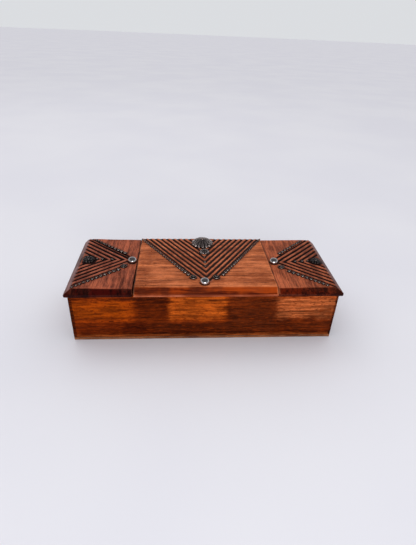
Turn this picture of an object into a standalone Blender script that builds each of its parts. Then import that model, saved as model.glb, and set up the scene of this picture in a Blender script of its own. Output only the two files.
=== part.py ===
"""Jewelry box: a shallow hardwood box with three compartments, each under its own hinged lid.

The centre lid opens at the back and the two end lids open at the outer ends. Each lid carries a V of
carved grooves that points to a domed stud on its free edge.

Frame: origin under the middle of the base, +X along the box, +Y to the back, +Z up. Units are metres.
"""

import math

import bmesh
import bpy
from mathutils import Matrix, Vector

# Overall size
LID_LENGTH = 0.3000
LID_DEPTH = 0.1214
OVERHANG = 0.0030
BODY_HEIGHT = 0.0590
END_LID_THICKNESS = 0.0086
CENTRE_LID_RISE = 0.0008
GAP = 0.0003

# Body boards
WALL = 0.0080
BASE_THICKNESS = 0.0032
CORNER_RADIUS = 0.0012
PARTITION_X = 0.0780
PARTITION_THICKNESS = 0.0060
LINING_THICKNESS = 0.0015
LINING_INSET = 0.0005

# Lid boards: a nose rounded underneath, then a chamfer a little rounder than a flat bevel
LIP_HEIGHT = 0.0035
LIP_NOSE_INSET = 0.0016
CHAMFER_INSET = 0.0073
CHAMFER_STEPS = 5
CHAMFER_ROUNDNESS = 0.25
SEAM_X = 0.0780
SEAM_HALF_GAP = 0.0003
LEFT_SEAM_TAPER = 0.0005

# Carved V grooves. Each V points from its middle line to two arms, a on the right hand side looking
# along the line and b on the left. Angles are in degrees, and the lengths are:
#   step: from one V's corner to the next        outer: from the first V out to the short outer grooves
#   beads: from the first V out to the beads     starts: along the middle line, from the first corner
#   middle: where the short middle row of beads starts and ends
GROOVE_WIDTH = 0.0030
GROOVE_DEPTH = 0.0016
GROOVE_ABOVE = 0.0004
CARVINGS = {
    "left": {
        "corner": (-0.0862, 0.0084),
        "turn": 179.5,
        "angles": (39.9, 40.5),
        "step": 0.0096,
        "count": 5,
        "outer": (0.0040, 0.0062),
        "outer_start": 0.0040,
        "beads": (0.0056, 0.0102),
        "bead_start": 0.0090,
        "middle": (0.0213, 0.0408),
    },
    "centre": {
        "corner": (0.0012, -0.0443),
        "turn": 90.0,
        "angles": (32.7, 33.3),
        "step": 0.0110,
        "count": 8,
        "outer": (0.0048, 0.0050),
        "outer_start": 0.0110,
        "beads": (0.0079, 0.0088),
        "bead_start": 0.0150,
        "middle": (0.0327, 0.0562),
    },
    "right": {
        "corner": (0.0883, 0.0021),
        "turn": 2.8,
        "angles": (43.2, 40.7),
        "step": 0.0095,
        "count": 5,
        "outer": (0.0062, 0.0060),
        "outer_start": 0.0030,
        "beads": (0.0103, 0.0098),
        "bead_start": 0.0090,
        "middle": (0.0217, 0.0397),
    },
}

# Ornaments
STUD_RADIUS = 0.0052
STUD_HEIGHT = 0.0055
CENTRE_STUD = (-0.0016, -0.0458)
LEFT_STUD = (-0.0843, 0.0037)
RIGHT_STUD = (0.0842, 0.0010)
ORNAMENT_PIN_RADIUS = 0.0009
ORNAMENT_PIN_LENGTH = 0.0045
FLUTE_DEPTH = 0.12
LARGE_BOSS_FLUTES = 16
SMALL_FLUTES = 10
LARGE_BOSS = (0.0003, 0.0470)
LARGE_BOSS_RADIUS = 0.0138
LARGE_BOSS_HEIGHT = 0.0083
SMALL_BOSS = (0.0017, 0.0240)
SMALL_BOSS_RADIUS = 0.0060
SMALL_BOSS_HEIGHT = 0.0042
LEFT_ROSETTE = (-0.1355, 0.0065)
LEFT_ROSETTE_RADIUS = 0.0070
RIGHT_ROSETTE = (0.1364, 0.0032)
RIGHT_ROSETTE_RADIUS = 0.0061
ROSETTE_HEIGHT = 0.0034
BEAD_ROW_THIN = 0.0011
BEAD_ROW_THICK = 0.0022
MIDDLE_BEAD_RADIUS = 0.0010

# Butt hinges
HINGE_LENGTH = 0.0300
LEAF_REACH = 0.0077
LEAF_THICKNESS = 0.0009
BARREL_RADIUS = 0.0014
PIN_RADIUS = 0.0007
BORE_RADIUS = 0.00078
AXIS_OUTSIDE_WALL = 0.0007
CENTRE_HINGE_X = 0.0450
SCREW_U = 0.0049
SCREW_V = 0.0090
SCREW_HEAD_RADIUS = 0.0016
SCREW_SHANK_RADIUS = 0.00075
SCREW_LENGTH = 0.0052
SCREW_CLEARANCE = 0.0002
SLOT_HALF_LENGTH = 0.0020
SLOT_WIDTH = 0.0004
SLOT_DEPTH = 0.0004
BARREL_FLOOR_GAP = 0.00036

# Smoothness
SHARP_ANGLE = math.radians(35)
ROUND_SEGMENTS = 16
DOME_STEPS = 5
SMALL_SEGMENTS = 8
BARREL_SEGMENTS = 12
STRIP_STEPS = 4

# Sizes that follow
BODY_X = LID_LENGTH / 2 - OVERHANG
BODY_Y = LID_DEPTH / 2 - OVERHANG
INNER_X = BODY_X - WALL
INNER_Y = BODY_Y - WALL
BOARD_BOTTOM = BASE_THICKNESS + GAP
WALL_TOP = BODY_HEIGHT - GAP / 2
LID_UNDERSIDE = BODY_HEIGHT + GAP / 2
END_LID_TOP = BODY_HEIGHT + END_LID_THICKNESS
CENTRE_LID_TOP = END_LID_TOP + CENTRE_LID_RISE
X_AXIS = Vector((1, 0, 0))
Y_AXIS = Vector((0, 1, 0))
AXIS_X = BODY_X + AXIS_OUTSIDE_WALL
AXIS_Y = BODY_Y + AXIS_OUTSIDE_WALL
BARREL_CLEAR = BARREL_RADIUS + GAP


def clear_scene():
    for obj in list(bpy.data.objects):
        bpy.data.objects.remove(obj, do_unlink=True)


def make_material(name, colour, roughness, metallic):
    material = bpy.data.materials.new(name)
    material.use_nodes = True
    shader = material.node_tree.nodes["Principled BSDF"]
    shader.inputs["Base Color"].default_value = (*colour, 1.0)
    shader.inputs["Roughness"].default_value = roughness
    shader.inputs["Metallic"].default_value = metallic
    return material


def make_object(name, bm, material, smooth=False):
    bmesh.ops.recalc_face_normals(bm, faces=bm.faces)
    mesh = bpy.data.meshes.new(name)
    bm.to_mesh(mesh)
    bm.free()
    if smooth:
        mesh.shade_smooth()
        mesh.set_sharp_from_angle(angle=SHARP_ANGLE)
    obj = bpy.data.objects.new(name, mesh)
    obj.data.materials.append(material)
    bpy.context.scene.collection.objects.link(obj)
    return obj


def as_cutter(obj):
    obj.hide_render = True
    obj.display_type = "WIRE"
    return obj


def boolean(target, tool, operation="DIFFERENCE"):
    modifier = target.modifiers.new(tool.name, "BOOLEAN")
    modifier.operation = operation
    modifier.solver = "EXACT"
    modifier.object = tool


# Shapes


def loft(rings):
    """Bridge rings of equal length, in order, into one closed body."""
    bm = bmesh.new()
    loops = [[bm.verts.new(point) for point in ring] for ring in rings]
    for lower, upper in zip(loops, loops[1:]):
        for i in range(len(lower)):
            j = (i + 1) % len(lower)
            bm.faces.new((lower[i], lower[j], upper[j], upper[i]))
    bm.faces.new(loops[0])
    bm.faces.new(loops[-1])
    return bm


def prism(outline, low, high):
    """Extrude a plan outline of (x, y) points from z = low to z = high."""
    return loft([[(x, y, z) for x, y in outline] for z in (low, high)])


def rectangle(x_low, x_high, y_low, y_high):
    return [(x_low, y_low), (x_high, y_low), (x_high, y_high), (x_low, y_high)]


def rounded_rectangle(x_half, y_low, y_high, round_front, round_back, steps=4):
    """Plan outline of a board, with its front or back corners rounded to CORNER_RADIUS."""
    corners = [
        (x_half, y_high, 0, round_back),
        (-x_half, y_high, 90, round_back),
        (-x_half, y_low, 180, round_front),
        (x_half, y_low, 270, round_front),
    ]
    outline = []
    for x, y, start, is_round in corners:
        if not is_round:
            outline.append((x, y))
            continue
        cx = x - math.copysign(CORNER_RADIUS, x)
        cy = y - math.copysign(CORNER_RADIUS, y)
        for step in range(steps + 1):
            angle = math.radians(start + 90 * step / steps)
            outline.append((cx + CORNER_RADIUS * math.cos(angle), cy + CORNER_RADIUS * math.sin(angle)))
    return outline


def turned(profile, segments, flutes=0, flute_depth=0.0):
    """Turn (radius, height) points about Z. With flutes, the outline is scalloped between ribs."""
    bm = bmesh.new()
    rings = []
    for radius, height in profile:
        if radius == 0.0:
            rings.append([bm.verts.new((0.0, 0.0, height))])
            continue
        ring = []
        for i in range(segments):
            angle = 2 * math.pi * i / segments
            scallop = 1.0
            if flutes and height > 0.0:
                scallop -= flute_depth * 0.5 * (1.0 - math.cos(flutes * angle))
            reach = radius * scallop
            ring.append(bm.verts.new((reach * math.cos(angle), reach * math.sin(angle), height)))
        rings.append(ring)
    for lower, upper in zip(rings, rings[1:]):
        for i in range(segments):
            j = (i + 1) % segments
            corners = [lower[i % len(lower)], lower[j % len(lower)]]
            corners += [upper[j % len(upper)], upper[i % len(upper)]]
            bm.faces.new(list(dict.fromkeys(corners)))
    return bm


def cylinder_along_y(radius, y_low, y_high, segments):
    bm = bmesh.new()
    turn = Matrix.Translation((0, (y_low + y_high) / 2, 0)) @ Matrix.Rotation(math.pi / 2, 4, "X")
    bmesh.ops.create_cone(
        bm,
        cap_ends=True,
        segments=segments,
        radius1=radius,
        radius2=radius,
        depth=y_high - y_low,
        matrix=turn,
    )
    return bm


def extrude_along_y(outline, y_low, y_high):
    """Extrude an (x, z) outline along Y."""
    return loft([[(x, y, z) for x, z in outline] for y in (y_low, y_high)])


# Body


def build_body(wood, felt):
    front = rounded_rectangle(BODY_X, -BODY_Y, -INNER_Y, True, False)
    back = rounded_rectangle(BODY_X, INNER_Y, BODY_Y, False, True)
    base = rounded_rectangle(BODY_X, -BODY_Y, BODY_Y, True, True)
    walls = {
        "front_wall": make_object("front_wall", prism(front, BOARD_BOTTOM, WALL_TOP), wood),
        "back_wall": make_object("back_wall", prism(back, BOARD_BOTTOM, WALL_TOP), wood),
    }
    make_object("bottom_board", prism(base, 0.0, BASE_THICKNESS), wood)
    reach = INNER_Y - GAP
    for side, sign in (("left", -1), ("right", 1)):
        outer = sorted((sign * INNER_X, sign * BODY_X))
        name = f"{side}_wall"
        outline = rectangle(*outer, -reach, reach)
        walls[name] = make_object(name, prism(outline, BOARD_BOTTOM, WALL_TOP), wood)
        middle = sign * PARTITION_X
        half = PARTITION_THICKNESS / 2
        outline = rectangle(middle - half, middle + half, -reach, reach)
        make_object(f"partition_{side}", prism(outline, BOARD_BOTTOM, WALL_TOP), wood)
    build_linings(felt)
    return walls


def build_linings(felt):
    partition_face = PARTITION_X + PARTITION_THICKNESS / 2
    inner_face = PARTITION_X - PARTITION_THICKNESS / 2
    spans = {
        "left": (-INNER_X, -partition_face),
        "centre": (-inner_face, inner_face),
        "right": (partition_face, INNER_X),
    }
    depth = INNER_Y - LINING_INSET
    for name, (low, high) in spans.items():
        outline = rectangle(low + LINING_INSET, high - LINING_INSET, -depth, depth)
        pad = prism(outline, BOARD_BOTTOM, BOARD_BOTTOM + LINING_THICKNESS)
        make_object(f"lining_{name}", pad, felt)


# Lids


def lid_board(front_left, front_right, back_left, back_right, top, chamfer_left, chamfer_right):
    """Board between four plan x values, worked along its front edge and, where asked, its ends."""
    levels = [
        (LIP_NOSE_INSET, LID_UNDERSIDE),
        (LIP_NOSE_INSET * 0.3, LID_UNDERSIDE + LIP_HEIGHT * 0.35),
        (0.0, BODY_HEIGHT + LIP_HEIGHT),
    ]
    rise = top - BODY_HEIGHT - LIP_HEIGHT
    for step in range(1, CHAMFER_STEPS + 1):
        angle = math.pi / 2 * step / CHAMFER_STEPS
        flat = 1 - math.cos(angle)
        share = flat + (math.sin(angle) - flat) * CHAMFER_ROUNDNESS
        levels.append((CHAMFER_INSET * flat, BODY_HEIGHT + LIP_HEIGHT + rise * share))
    front = -LID_DEPTH / 2
    back = LID_DEPTH / 2
    rings = []
    for inset, z in levels:
        left = inset if chamfer_left else 0.0
        right = -inset if chamfer_right else 0.0
        rings.append([
            (front_left + left, front + inset, z),
            (front_right + right, front + inset, z),
            (back_right + right, back, z),
            (back_left + left, back, z),
        ])
    return loft(rings)


def groove_section(point, outward):
    """The three corners of a groove cutter: both sides above the lid's top, and the floor."""
    half = GROOVE_WIDTH / 2 * (GROOVE_DEPTH + GROOVE_ABOVE) / GROOVE_DEPTH
    up = Vector((0, 0, GROOVE_ABOVE))
    return (point + outward * half + up, point - Vector((0, 0, GROOVE_DEPTH)), point - outward * half + up)


def add_arm(bm, ring, end, arm, outward, open_ended):
    """Continue a groove cutter from a ring of its corners to end, cut off square or brought to a point."""
    shoulder = end if open_ended else end - arm * GROOVE_WIDTH
    last = [bm.verts.new(point) for point in groove_section(shoulder, outward)]
    for i in range(3):
        j = (i + 1) % 3
        bm.faces.new((ring[i], ring[j], last[j], last[i]))
    if open_ended:
        bm.faces.new(last)
        return
    tip = bm.verts.new(end + Vector((0, 0, GROOVE_ABOVE)))
    for i in range(3):
        bm.faces.new((last[i], last[(i + 1) % 3], tip))


class Carving:
    """The lines that one lid's grooves and beads follow. The side is -1 for arm a and 1 for arm b."""

    def __init__(self, plan, top):
        turn = math.radians(plan["turn"])
        self.plan = plan
        self.along = Vector((math.cos(turn), math.sin(turn), 0))
        self.across = Vector((0, 0, 1)).cross(self.along)
        self.corner = Vector((*plan["corner"], top))
        self.angles = {side: math.radians(angle) for side, angle in zip((-1, 1), plan["angles"])}

    def arm(self, side):
        angle = self.angles[side]
        return self.along * math.cos(angle) + self.across * (side * math.sin(angle))

    def outward(self, side):
        angle = self.angles[side]
        return self.along * -math.sin(angle) + self.across * (side * math.cos(angle))

    def point(self, side, start, out):
        """Point beside an arm of the first V, start along the middle line and out from the arm."""
        angle = self.angles[side]
        reach = start * math.tan(angle) + out / math.cos(angle)
        return self.corner + self.along * start + self.across * (side * reach)

    def run_to(self, point, side, limits):
        """Where a line from point, parallel to an arm, first reaches one of the (axis, distance) limits."""
        arm = self.arm(side)
        reaches = [(far - point.dot(axis)) / arm.dot(axis) for axis, far in limits if arm.dot(axis) > 0]
        return point + arm * min(reaches)

    def chevron(self, index, limits, open_ended):
        corner = self.corner + self.along * (index * self.plan["step"])
        mitre = self.along / math.sin((self.angles[-1] + self.angles[1]) / 2)
        bm = bmesh.new()
        ring = [bm.verts.new(point) for point in groove_section(corner, -mitre)]
        for side in (-1, 1):
            end = self.run_to(corner, side, limits)
            add_arm(bm, ring, end, self.arm(side), self.outward(side), open_ended)
        return bm

    def outer_groove(self, side, limits, open_ended):
        """Cutter for the short groove outside one arm of the first V."""
        start = self.point(side, self.plan["outer_start"], self.plan["outer"][side > 0])
        bm = bmesh.new()
        ring = [bm.verts.new(point) for point in groove_section(start, self.outward(side))]
        bm.faces.new(ring)
        end = self.run_to(start, side, limits)
        add_arm(bm, ring, end, self.arm(side), self.outward(side), open_ended)
        return bm

    def cutters(self, limits, open_ended):
        """Cutters for all of the lid's grooves, which end at the limits."""
        vs = [self.chevron(index, limits, open_ended) for index in range(self.plan["count"])]
        return vs + [self.outer_groove(side, limits, open_ended) for side in (-1, 1)]


def cut_grooves(lid, name, cutters):
    for index, bm in enumerate(cutters):
        boolean(lid, as_cutter(make_object(f"cut_{name}_{index}", bm, lid.data.materials[0])))


def plan_carvings():
    tops = {"left": END_LID_TOP, "centre": CENTRE_LID_TOP, "right": END_LID_TOP}
    return {name: Carving(CARVINGS[name], top) for name, top in tops.items()}


def flat_limits(outer_axis, margin):
    """How far the lids' flat tops reach along outer_axis, to the front and to the back."""
    return [
        (outer_axis, LID_LENGTH / 2 - CHAMFER_INSET - margin),
        (-Y_AXIS, LID_DEPTH / 2 - CHAMFER_INSET - margin),
        (Y_AXIS, LID_DEPTH / 2 - margin),
    ]


def build_lids(wood, hinge_empties, carvings):
    edge = LID_LENGTH / 2
    seam = SEAM_X + SEAM_HALF_GAP
    taper = LEFT_SEAM_TAPER
    centre_edge = SEAM_X - SEAM_HALF_GAP
    boards = {
        "lid_left": lid_board(
            -edge, -seam - 2 * taper, -edge, -seam, END_LID_TOP, True, False
        ),
        "lid_centre": lid_board(
            -centre_edge, centre_edge, -centre_edge, centre_edge, CENTRE_LID_TOP, False, False
        ),
        "lid_right": lid_board(seam, edge, seam, edge, END_LID_TOP, False, True),
    }
    lids = {name: make_object(name, bm, wood) for name, bm in boards.items()}
    past_back = (Y_AXIS, LID_DEPTH / 2 + GROOVE_WIDTH)
    cut_grooves(lids["lid_centre"], "centre", carvings["centre"].cutters([past_back], True))
    for side, axis in (("left", -X_AXIS), ("right", X_AXIS)):
        limits = flat_limits(axis, 0.0)[:2] + [past_back]
        cut_grooves(lids[f"lid_{side}"], side, carvings[side].cutters(limits, False))
    for name, lid in lids.items():
        attach(lid, hinge_empties[name])
    return lids


# Ornaments


def dome_profile(radius, height, steps):
    """Pin below, flat underside, then a quarter-ellipse dome."""
    points = [
        (0.0, -ORNAMENT_PIN_LENGTH),
        (ORNAMENT_PIN_RADIUS, -ORNAMENT_PIN_LENGTH + ORNAMENT_PIN_RADIUS),
        (ORNAMENT_PIN_RADIUS, 0.0),
    ]
    for step in range(steps):
        angle = math.pi / 2 * step / steps
        points.append((radius * math.cos(angle), height * math.sin(angle)))
    points.append((0.0, height))
    return points


def add_ornament(name, lid, empty, place, top, radius, height, material, flutes=0):
    """Domed nail seated just above the lid, with its pin in a drilled hole."""
    segments = max(ROUND_SEGMENTS, flutes * 2)
    bm = turned(dome_profile(radius, height, DOME_STEPS), segments, flutes, FLUTE_DEPTH)
    obj = make_object(name, bm, material, smooth=True)
    obj.location = (*place, top + GAP)
    hole_radius = ORNAMENT_PIN_RADIUS + GAP
    hole = [(0.0, -ORNAMENT_PIN_LENGTH - GAP), (hole_radius, -ORNAMENT_PIN_LENGTH - GAP)]
    hole += [(hole_radius, 2 * GAP), (0.0, 2 * GAP)]
    cutter = as_cutter(make_object(f"cut_{name}", turned(hole, SMALL_SEGMENTS), material))
    cutter.location = (*place, top)
    boolean(lid, cutter)
    attach(obj, empty)


def half_round_strip(start, end, start_radius, end_radius):
    """Half-round strip lying on the lid from start to end, with its flat side down."""
    along = (end - start).normalized()
    across = Vector((0, 0, 1)).cross(along)
    rings = []
    for point, radius in ((start, start_radius), (end, end_radius)):
        ring = []
        for step in range(STRIP_STEPS + 1):
            angle = math.pi * step / STRIP_STEPS
            reach = across * math.cos(angle) + Vector((0, 0, math.sin(angle)))
            ring.append(point + reach * radius)
        rings.append(ring)
    return loft(rings)


def add_bead_rows(name, carving, limits, material, empty):
    """Two tapering rows of beads outside the grooves, and a short row down the middle."""
    lift = Vector((0, 0, GAP))
    plan = carving.plan
    for label, side, out in zip("ab", (-1, 1), plan["beads"]):
        start = carving.point(side, plan["bead_start"], out) + lift
        end = carving.run_to(start, side, limits)
        bm = half_round_strip(start, end, BEAD_ROW_THICK, BEAD_ROW_THIN)
        attach(make_object(f"bead_row_{name}_{label}", bm, material), empty)
    ends = [carving.corner + carving.along * place + lift for place in plan["middle"]]
    bm = half_round_strip(*ends, MIDDLE_BEAD_RADIUS, MIDDLE_BEAD_RADIUS)
    attach(make_object(f"bead_row_{name}_middle", bm, material), empty)


def build_ornaments(lids, empties, carvings, nickel, pewter):
    """Studs, bosses, rosettes and bead rows: (node, place, radius, height, material, flutes)."""
    stud = (STUD_RADIUS, STUD_HEIGHT, nickel, 0)
    pieces = {
        "centre": [
            ("stud_centre", CENTRE_STUD, *stud),
            ("boss_large", LARGE_BOSS, LARGE_BOSS_RADIUS, LARGE_BOSS_HEIGHT, pewter, LARGE_BOSS_FLUTES),
            ("boss_small", SMALL_BOSS, SMALL_BOSS_RADIUS, SMALL_BOSS_HEIGHT, pewter, SMALL_FLUTES),
        ],
        "left": [
            ("stud_left", LEFT_STUD, *stud),
            ("rosette_left", LEFT_ROSETTE, LEFT_ROSETTE_RADIUS, ROSETTE_HEIGHT, pewter, SMALL_FLUTES),
        ],
        "right": [
            ("stud_right", RIGHT_STUD, *stud),
            ("rosette_right", RIGHT_ROSETTE, RIGHT_ROSETTE_RADIUS, ROSETTE_HEIGHT, pewter, SMALL_FLUTES),
        ],
    }
    for side, ornaments in pieces.items():
        lid = lids[f"lid_{side}"]
        empty = empties[f"lid_{side}"]
        top = carvings[side].corner.z
        for name, place, radius, height, material, flutes in ornaments:
            add_ornament(name, lid, empty, place, top, radius, height, material, flutes)
    for side, axis in (("left", -X_AXIS), ("centre", Y_AXIS), ("right", X_AXIS)):
        limits = flat_limits(axis, BEAD_ROW_THIN)
        add_bead_rows(side, carvings[side], limits, pewter, empties[f"lid_{side}"])


# Hinges, each in its own frame: +X into the box, +Y along the axis, +Z up, origin on the axis


def leaf_outline(tabs):
    """Plan of a leaf: a plate clear of the barrel, with a tab to the axis at each of its knuckles."""
    half = HINGE_LENGTH / 2
    outline = [(LEAF_REACH, half), (LEAF_REACH, -half)]
    for low, high in tabs:
        if low > -half:
            outline.append((BARREL_CLEAR, outline[-1][1]))
            outline.append((BARREL_CLEAR, low))
        outline += [(0.0, low), (0.0, high)]
    if outline[-1][1] < half:
        outline += [(BARREL_CLEAR, outline[-1][1]), (BARREL_CLEAR, half)]
    return list(dict.fromkeys(outline))


def gain_cutter(name, direction, material):
    """Recess for one leaf and the barrel, below the joint (direction -1) or above it (+1)."""
    leaf_floor = direction * (GAP / 2 + LEAF_THICKNESS + GAP)
    barrel_floor = direction * (BARREL_RADIUS + BARREL_FLOOR_GAP)
    outside = -2 * OVERHANG
    inside = LEAF_REACH + GAP
    barrel_side = BARREL_CLEAR
    far = -direction * OVERHANG
    outline = [
        (outside, far),
        (inside, far),
        (inside, leaf_floor),
        (barrel_side, leaf_floor),
        (barrel_side, barrel_floor),
        (outside, barrel_floor),
    ]
    half = HINGE_LENGTH / 2 + GAP
    return as_cutter(make_object(name, extrude_along_y(outline, -half, half), material))


def screw_profile(clearance):
    head = SCREW_HEAD_RADIUS + clearance
    shank = SCREW_SHANK_RADIUS + clearance
    tip = -SCREW_LENGTH - 1.5 * clearance
    return [
        (0.0, tip),
        (shank, tip + SCREW_SHANK_RADIUS),
        (shank, -LEAF_THICKNESS - clearance / 2),
        (head, -clearance),
        (head, 3 * clearance),
        (0.0, 3 * clearance),
    ]


def add_screw(name, target, leaf, place, v, direction, material):
    """Countersunk slotted screw through a leaf into the wood, with its clearance hole."""
    turn = Matrix.Rotation(math.pi if direction > 0 else 0.0, 4, "X")
    seat = place @ Matrix.Translation((SCREW_U, v, direction * GAP / 2)) @ turn
    body = turned(screw_profile(0.0)[:-2] + [(0.0, 0.0)], SMALL_SEGMENTS)
    screw = make_object(name, body, material)
    clearance = turned(screw_profile(SCREW_CLEARANCE), SMALL_SEGMENTS)
    hole = as_cutter(make_object(f"cut_{name}", clearance, material))
    slot_outline = rectangle(-SLOT_HALF_LENGTH, SLOT_HALF_LENGTH, -SLOT_WIDTH / 2, SLOT_WIDTH / 2)
    slot = as_cutter(make_object(f"slot_{name}", prism(slot_outline, -SLOT_DEPTH, SLOT_DEPTH), material))
    for obj in (screw, hole, slot):
        obj.matrix_world = seat
    boolean(screw, slot)
    boolean(leaf, hole)
    boolean(target, hole)
    return screw


def add_leaf(name, tabs, direction, place, steel):
    half_gap = GAP / 2
    low, high = sorted((direction * half_gap, direction * (half_gap + LEAF_THICKNESS)))
    leaf = make_object(name, prism(leaf_outline(tabs), low, high), steel)
    leaf.matrix_world = place
    for index, (start, end) in enumerate(tabs):
        knuckle = cylinder_along_y(BARREL_RADIUS, start, end, BARREL_SEGMENTS)
        tool = as_cutter(make_object(f"knuckle_{name}_{index}", knuckle, steel))
        tool.matrix_world = place
        boolean(leaf, tool, "UNION")
    bore = cylinder_along_y(BORE_RADIUS, -HINGE_LENGTH, HINGE_LENGTH, BARREL_SEGMENTS)
    tool = as_cutter(make_object(f"bore_{name}", bore, steel))
    tool.matrix_world = place
    boolean(leaf, tool)
    return leaf


def build_hinge(name, x, y, turn, wall, lid, empty, brass):
    """Butt hinge let into the wall's top edge and the lid's underside."""
    place = Matrix.Translation((x, y, BODY_HEIGHT)) @ Matrix.Rotation(turn, 4, "Z")
    half = HINGE_LENGTH / 2
    knuckle = HINGE_LENGTH / 3
    inner = knuckle / 2 - GAP / 2
    outer = knuckle / 2 + GAP / 2
    fixed = add_leaf(f"{name}_fixed_leaf", [(-half, -outer), (outer, half)], -1, place, brass)
    moving = add_leaf(f"{name}_moving_leaf", [(-inner, inner)], 1, place, brass)
    for target, direction in ((wall, -1), (lid, 1)):
        cutter = gain_cutter(f"gain_{name}_{target.name}", direction, brass)
        cutter.matrix_world = place
        boolean(target, cutter)
    rod = cylinder_along_y(PIN_RADIUS, -half, half, BARREL_SEGMENTS)
    pin = make_object(f"{name}_pin", rod, brass, smooth=True)
    pin.matrix_world = place
    for index, v in enumerate((-SCREW_V, SCREW_V), start=1):
        add_screw(f"{name}_fixed_screw_{index}", wall, fixed, place, v, -1, brass)
        screw = add_screw(f"{name}_moving_screw_{index}", lid, moving, place, v, 1, brass)
        attach(screw, empty)
    attach(moving, empty)


def build_hinges(walls, lids, empties, brass):
    back = (walls["back_wall"], lids["lid_centre"], empties["lid_centre"], brass)
    for side, sign in (("left", -1), ("right", 1)):
        build_hinge(f"hinge_back_{side}", sign * CENTRE_HINGE_X, AXIS_Y, -math.pi / 2, *back)
        turn = 0.0 if sign < 0 else math.pi
        end = (walls[f"{side}_wall"], lids[f"lid_{side}"], empties[f"lid_{side}"], brass)
        build_hinge(f"hinge_{side}", sign * AXIS_X, 0.0, turn, *end)


def make_axis_empties():
    """One empty on each lid's hinge axis; everything that turns with the lid is parented to it."""
    places = {
        "lid_left": (-AXIS_X, 0.0, BODY_HEIGHT),
        "lid_centre": (0.0, AXIS_Y, BODY_HEIGHT),
        "lid_right": (AXIS_X, 0.0, BODY_HEIGHT),
    }
    empties = {}
    for name, location in places.items():
        empty = bpy.data.objects.new(f"axis_{name}", None)
        empty.location = location
        bpy.context.scene.collection.objects.link(empty)
        empties[name] = empty
    bpy.context.view_layer.update()
    return empties


def attach(obj, empty):
    obj.parent = empty
    obj.matrix_parent_inverse = empty.matrix_world.inverted()


def build():
    clear_scene()
    wood = make_material("stained_hardwood", (0.22, 0.065, 0.025), 0.35, 0.0)
    lid_wood = make_material("lid_hardwood", (0.33, 0.10, 0.04), 0.35, 0.0)
    felt = make_material("wine_felt", (0.10, 0.012, 0.02), 0.95, 0.0)
    nickel = make_material("polished_nickel", (0.62, 0.60, 0.58), 0.15, 1.0)
    pewter = make_material("dark_pewter", (0.16, 0.14, 0.13), 0.35, 1.0)
    brass = make_material("aged_brass", (0.45, 0.33, 0.15), 0.35, 1.0)
    empties = make_axis_empties()
    walls = build_body(wood, felt)
    carvings = plan_carvings()
    lids = build_lids(lid_wood, empties, carvings)
    build_ornaments(lids, empties, carvings, nickel, pewter)
    build_hinges(walls, lids, empties, brass)


build()
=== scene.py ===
"""Looks of the jewelry box: carved lids, metal ornaments, stained boards and felt, in a plain studio.

Sizes and places are in metres, in the frame's own axes: X to the right, Y to the back, Z up."""

import math
import random

import bmesh
import bpy
import numpy as np
from mathutils import Matrix, Vector


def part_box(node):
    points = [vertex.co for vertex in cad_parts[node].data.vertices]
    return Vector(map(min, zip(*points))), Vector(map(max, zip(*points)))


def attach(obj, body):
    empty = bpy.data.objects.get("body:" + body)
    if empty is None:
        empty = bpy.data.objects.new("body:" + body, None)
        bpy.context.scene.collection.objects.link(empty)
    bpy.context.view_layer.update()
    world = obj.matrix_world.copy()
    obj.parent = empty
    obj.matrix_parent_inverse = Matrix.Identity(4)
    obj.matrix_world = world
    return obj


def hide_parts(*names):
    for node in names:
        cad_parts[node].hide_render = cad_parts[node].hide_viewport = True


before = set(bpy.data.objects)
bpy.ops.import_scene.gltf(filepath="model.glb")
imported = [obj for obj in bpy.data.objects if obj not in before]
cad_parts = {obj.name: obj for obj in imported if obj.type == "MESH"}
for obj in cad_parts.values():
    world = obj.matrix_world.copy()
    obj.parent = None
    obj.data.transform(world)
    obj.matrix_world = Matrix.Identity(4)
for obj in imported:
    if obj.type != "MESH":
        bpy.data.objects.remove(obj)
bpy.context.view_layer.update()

# Camera
CAMERA_PLACE = Vector((-0.0297, -0.4074, 0.3029))
CAMERA_YAW = math.radians(-4.92)
CAMERA_PITCH = math.radians(31.40)
CAMERA_ROLL = math.radians(2.5)
CAMERA_LENS = 26.22

# Lid boards, as in the CAD
LIP_HEIGHT = 0.0035
LIP_NOSE_INSET = 0.0016
CHAMFER_INSET = 0.0073
CHAMFER_ROUNDNESS = 0.25

# Finer shape of the lids
GRID_STEP = 0.0005
ARRIS_RADIUS = 0.0007
ARRIS_STEPS = 4
CHAMFER_GRID_STEPS = 12
MITRE_BLEND = 0.0003
FRONT_CORNER_RADIUS = 0.0009
BACK_CORNER_RADIUS = 0.0035
LIP_ARRIS = 0.0004
LIP_BLEND = 0.0004
LIP_CURVE = ((0.62, 0.03), (0.40, 0.13), (0.22, 0.33), (0.08, 0.63), (0.00, 1.00))
GROOVE_FADE = 0.0030
LID_WAVE = 0.00010
LID_WAVE_SIZE = 0.045

# Each lid: side of the box, fall of its top towards the seam, narrowing towards the front, and seed
LID_SHAPES = {
    "left": (-1, 0.0013, 0.0010, 3),
    "centre": (0, 0.0, 0.0, 11),
    "right": (1, 0.0009, 0.0, 7),
}

# Carved V grooves, with a rounder section than the CAD's
GROOVE_DEPTH = 0.0016
GROOVE_HALF_WIDTH = 0.0026
OUTER_GROOVE_SHARE = 0.85
GROOVE_WOBBLE = 0.00016
GROOVE_WOBBLE_SIZE = 0.012
GROOVE_WIDTH_CHANGE = 0.08
GROOVE_WIDTH_SIZE = 0.020
GROOVE_BACK_FADE = 0.6

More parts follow.
